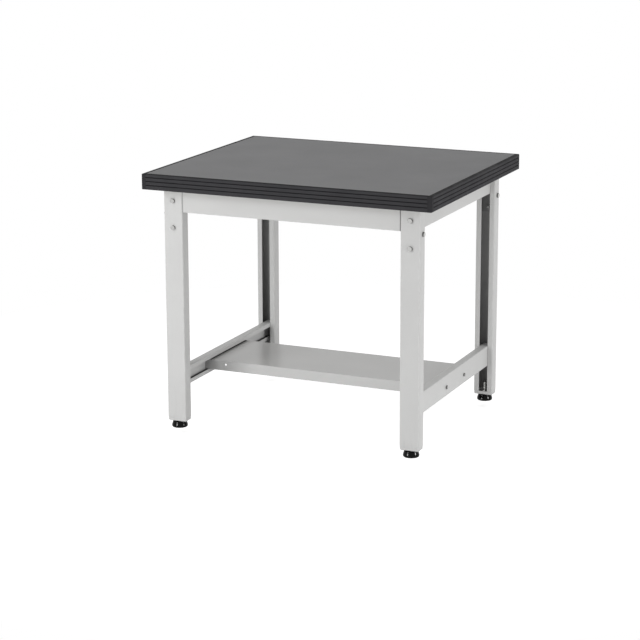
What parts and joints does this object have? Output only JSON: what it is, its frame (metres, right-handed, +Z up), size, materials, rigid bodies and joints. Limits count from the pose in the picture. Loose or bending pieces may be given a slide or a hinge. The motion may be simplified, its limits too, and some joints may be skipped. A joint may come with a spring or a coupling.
{
  "type": "work table",
  "caption": "Free-standing laboratory work table with a chemical-resistant laminated top, ribbed edge moulding, bolted steel channel legs, a half-depth shelf and screw-out feet.",
  "frame": {"origin": "on the floor below the middle of the worktop", "axes": "+Z up, +X along the long side to the right as seen from the front, +Y to the back"},
  "size_m": [0.9, 0.75, 0.77],
  "materials": {
    "wearing_sheet": "satin mid-grey chemical-resistant sheet",
    "particle_board": "raw particle board",
    "backing_sheet": "plain backing laminate",
    "edge_moulding": "extruded near-black vinyl, satin",
    "grey_paint": "baked light-grey paint",
    "zinc_plate": "zinc plate",
    "foot_plastic": "glossy black plastic"
  },
  "bodies": {
    "frame": {"apron_front": "grey_paint", "apron_left": "grey_paint", "apron_rear": "grey_paint", "apron_right": "grey_paint", "corner_cap_front_left": "edge_moulding", "corner_cap_front_right": "edge_moulding", "corner_cap_rear_left": "edge_moulding", "corner_cap_rear_right": "edge_moulding", "edge_front": "edge_moulding", "edge_left": "edge_moulding", "edge_rear": "edge_moulding", "edge_right": "edge_moulding", "foot_nut_front_left": "zinc_plate", "foot_nut_front_right": "zinc_plate", "foot_nut_rear_left": "zinc_plate", "foot_nut_rear_right": "zinc_plate", "leg_bolt_lower_front_left": "zinc_plate", "leg_bolt_lower_front_right": "zinc_plate", "leg_bolt_lower_rear_left": "zinc_plate", "leg_bolt_lower_rear_right": "zinc_plate", "leg_bolt_side_front_left": "zinc_plate", "leg_bolt_side_front_right": "zinc_plate", "leg_bolt_side_rear_left": "zinc_plate", "leg_bolt_side_rear_right": "zinc_plate", "leg_bolt_upper_front_left": "zinc_plate", "leg_bolt_upper_front_right": "zinc_plate", "leg_bolt_upper_rear_left": "zinc_plate", "leg_bolt_upper_rear_right": "zinc_plate", "leg_bracket_front_left": "grey_paint", "leg_bracket_front_right": "grey_paint", "leg_bracket_rear_left": "grey_paint", "leg_bracket_rear_right": "grey_paint", "leg_front_left": "grey_paint", "leg_front_right": "grey_paint", "leg_rear_left": "grey_paint", "leg_rear_right": "grey_paint", "leg_shoe_front_left": "grey_paint", "leg_shoe_front_right": "grey_paint", "leg_shoe_rear_left": "grey_paint", "leg_shoe_rear_right": "grey_paint", "rail_left": "grey_paint", "rail_right": "grey_paint", "shelf": "grey_paint", "shelf_bolt_left_front": "zinc_plate", "shelf_bolt_left_rear": "zinc_plate", "shelf_bolt_right_front": "zinc_plate", "shelf_bolt_right_rear": "zinc_plate", "top_backer": "backing_sheet", "top_core": "particle_board", "top_sheet": "wearing_sheet"},
    "pad_front_left": {"foot_pad_front_left": "foot_plastic"},
    "stem_front_left": {"foot_stem_front_left": "zinc_plate"},
    "pad_front_right": {"foot_pad_front_right": "foot_plastic"},
    "stem_front_right": {"foot_stem_front_right": "zinc_plate"},
    "pad_rear_left": {"foot_pad_rear_left": "foot_plastic"},
    "stem_rear_left": {"foot_stem_rear_left": "zinc_plate"},
    "pad_rear_right": {"foot_pad_rear_right": "foot_plastic"},
    "stem_rear_right": {"foot_stem_rear_right": "zinc_plate"}
  },
  "joints": [
    {"name": "foot_travel_front_left", "type": "slide", "parent": "frame", "child": "pad_front_left", "axis": [0, 0, -1], "range_m": [0, 0.021]},
    {"name": "stem_turn_front_left", "type": "hinge", "parent": "pad_front_left", "child": "stem_front_left", "pos_m": [-0.371, -0.3135, 0.03], "axis": [0, 0, -1], "range_deg": [0, 4321]},
    {"name": "foot_travel_front_right", "type": "slide", "parent": "frame", "child": "pad_front_right", "axis": [0, 0, -1], "range_m": [0, 0.021]},
    {"name": "stem_turn_front_right", "type": "hinge", "parent": "pad_front_right", "child": "stem_front_right", "pos_m": [0.371, -0.3135, 0.03], "axis": [0, 0, -1], "range_deg": [0, 4321]},
    {"name": "foot_travel_rear_left", "type": "slide", "parent": "frame", "child": "pad_rear_left", "axis": [0, 0, -1], "range_m": [0, 0.021]},
    {"name": "stem_turn_rear_left", "type": "hinge", "parent": "pad_rear_left", "child": "stem_rear_left", "pos_m": [-0.371, 0.3135, 0.03], "axis": [0, 0, -1], "range_deg": [0, 4321]},
    {"name": "foot_travel_rear_right", "type": "slide", "parent": "frame", "child": "pad_rear_right", "axis": [0, 0, -1], "range_m": [0, 0.021]},
    {"name": "stem_turn_rear_right", "type": "hinge", "parent": "pad_rear_right", "child": "stem_rear_right", "pos_m": [0.371, 0.3135, 0.03], "axis": [0, 0, -1], "range_deg": [0, 4321]}
  ],
  "couplings": [
    {"joint": "stem_turn_front_left", "follows": "foot_travel_front_left", "rad_per_m": 3590.4},
    {"joint": "stem_turn_front_right", "follows": "foot_travel_front_right", "rad_per_m": 3590.4},
    {"joint": "stem_turn_rear_left", "follows": "foot_travel_rear_left", "rad_per_m": 3590.4},
    {"joint": "stem_turn_rear_right", "follows": "foot_travel_rear_right", "rad_per_m": 3590.4}
  ]
}
